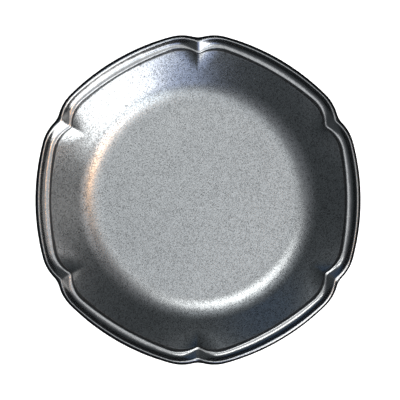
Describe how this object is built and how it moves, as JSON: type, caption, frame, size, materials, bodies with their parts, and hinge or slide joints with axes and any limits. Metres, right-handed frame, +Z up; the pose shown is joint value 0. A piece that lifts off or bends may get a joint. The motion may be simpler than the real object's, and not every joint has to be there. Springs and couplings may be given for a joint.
{
  "type": "paten plate",
  "caption": "Shallow lobed metal plate: flat well, flaring wall creased at each cusp, applied moulded border and a low foot ring.",
  "frame": {"origin": "centre of the foot ring's resting face, on the surface that the plate stands on", "axes": "+Z up out of the well; +X through the middle of a lobe; +Y through a cusp between two lobes"},
  "size_m": [0.228, 0.231, 0.0231],
  "materials": {
    "dish_metal": "satin",
    "border_metal": "satin",
    "foot_metal": "satin"
  },
  "bodies": {
    "root": {"dish": "dish_metal", "border_length_1": "border_metal", "border_length_2": "border_metal", "border_length_3": "border_metal", "border_length_4": "border_metal", "border_length_5": "border_metal", "border_length_6": "border_metal", "foot_ring": "foot_metal"}
  },
  "joints": []
}
